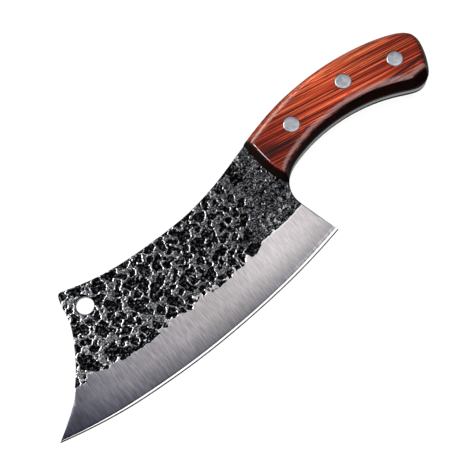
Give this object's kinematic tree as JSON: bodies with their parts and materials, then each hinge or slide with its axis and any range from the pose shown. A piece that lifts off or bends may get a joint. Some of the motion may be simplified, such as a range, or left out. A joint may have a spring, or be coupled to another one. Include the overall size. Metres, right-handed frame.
{
  "type": "meat cleaver",
  "caption": "Full-tang meat cleaver: broad blade with a hammered upper face, ground bevel and concave front end with a hang hole, and a curved wooden handle held by two-part rivets.",
  "frame": {"origin": "under the middle of the cleaver's bounding box, on the plane of the lower scale's flat outer face, on which it rests when it lies on its side", "axes": "+X along the cutting edge's chord from the blade's tip to the handle, +Y from the cutting edge to the spine, +Z out of the upper (left) scale, square to the blade's flats"},
  "size_m": [0.3018, 0.0918, 0.019],
  "materials": {
    "forged_steel": "black forged and hammered above, satin ground bevel below",
    "handle_wood": "lacquered red rosewood",
    "rivet_steel": "ground flush, satin"
  },
  "bodies": {
    "root": {"blade_and_tang": "forged_steel", "scale_left": "handle_wood", "scale_right": "handle_wood", "rivet_pin_front": "rivet_steel", "rivet_tube_front": "rivet_steel", "rivet_pin_middle": "rivet_steel", "rivet_tube_middle": "rivet_steel", "rivet_pin_rear": "rivet_steel", "rivet_tube_rear": "rivet_steel"}
  },
  "joints": []
}
